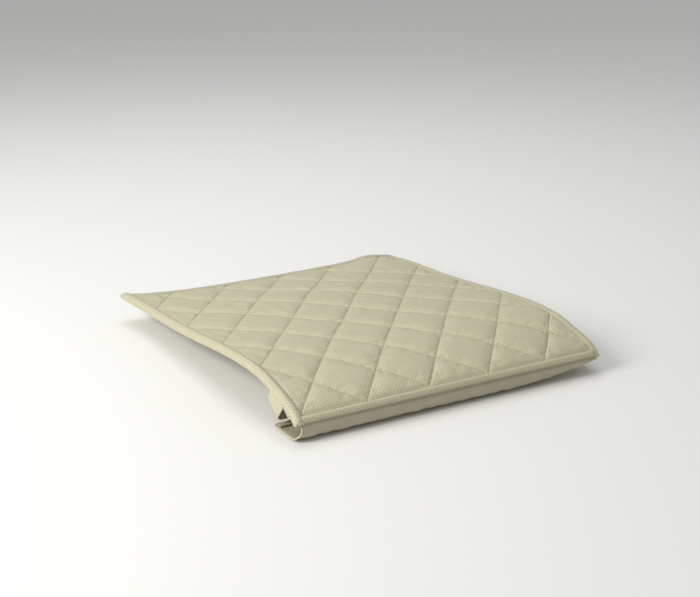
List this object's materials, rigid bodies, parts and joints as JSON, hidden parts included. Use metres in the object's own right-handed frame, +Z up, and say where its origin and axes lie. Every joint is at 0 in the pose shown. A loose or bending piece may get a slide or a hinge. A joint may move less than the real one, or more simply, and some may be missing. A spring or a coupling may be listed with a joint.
{
  "type": "quilted seat cushion pad",
  "caption": "Thin quilted perforated-leatherette seat pad with bound edges, an elasticated front pocket, corner tabs and rear hook-and-loop straps.",
  "frame": {"origin": "middle of the pad's footprint, at the lowest point of the pocket and straps, on the surface that the pad stands on", "axes": "+Z up, +X across the pad, the front edge with its pocket faces -Y"},
  "size_m": [0.5, 0.5766, 0.0673],
  "materials": {
    "perforated_leatherette": "satin cream, perforated, fine grain",
    "smooth_leatherette": "satin cream, fine grain",
    "quilting_foam": "open-cell foam",
    "backing_cloth": "matt non-woven cloth",
    "elastic_braid": "matt braid",
    "strap_webbing": "matt woven webbing",
    "hook_tape": "stiff hooks",
    "loop_tape": "brushed loops"
  },
  "bodies": {
    "pad": {"quilted_top": "perforated_leatherette", "foam_sheet": "quilting_foam", "backing_cloth": "backing_cloth", "binding_front": "perforated_leatherette", "binding_rear": "perforated_leatherette", "binding_left": "perforated_leatherette", "binding_right": "perforated_leatherette", "loop_patch_left": "loop_tape", "loop_patch_right": "loop_tape"},
    "front_pocket": {"front_apron": "smooth_leatherette", "hem_elastic": "elastic_braid", "apron_piping_left": "smooth_leatherette", "apron_piping_right": "smooth_leatherette"},
    "tab_left": {"corner_tab_left": "smooth_leatherette", "tab_piping_left": "smooth_leatherette"},
    "tab_right": {"corner_tab_right": "smooth_leatherette", "tab_piping_right": "smooth_leatherette"},
    "strap_left": {"rear_strap_left": "strap_webbing", "hook_patch_left": "hook_tape"},
    "strap_right": {"rear_strap_right": "strap_webbing", "hook_patch_right": "hook_tape"}
  },
  "joints": [
    {"name": "pocket_open", "type": "hinge", "parent": "pad", "child": "front_pocket", "pos_m": [0, -0.285, 0.0235], "axis": [-1, 0, 0], "range_deg": [0, 100], "stiffness_Nm_per_rad": 0.03, "springref_deg": -28.65},
    {"name": "tab_left_open", "type": "hinge", "parent": "pad", "child": "tab_left", "pos_m": [-0.24915, -0.2322, 0.04234], "axis": [0, 0.9659, 0.2588], "range_deg": [0, 100], "stiffness_Nm_per_rad": 0.002, "springref_deg": -17.19},
    {"name": "tab_right_open", "type": "hinge", "parent": "pad", "child": "tab_right", "pos_m": [0.24915, -0.2322, 0.04234], "axis": [0, -0.9659, -0.2588], "range_deg": [0, 100], "stiffness_Nm_per_rad": 0.002, "springref_deg": -17.19},
    {"name": "strap_left_open", "type": "hinge", "parent": "pad", "child": "strap_left", "pos_m": [-0.14, 0.28722, 0.02986], "axis": [1, 0, 0], "range_deg": [0, 110]},
    {"name": "strap_right_open", "type": "hinge", "parent": "pad", "child": "strap_right", "pos_m": [0.14, 0.28722, 0.02986], "axis": [1, 0, 0], "range_deg": [0, 110]}
  ]
}
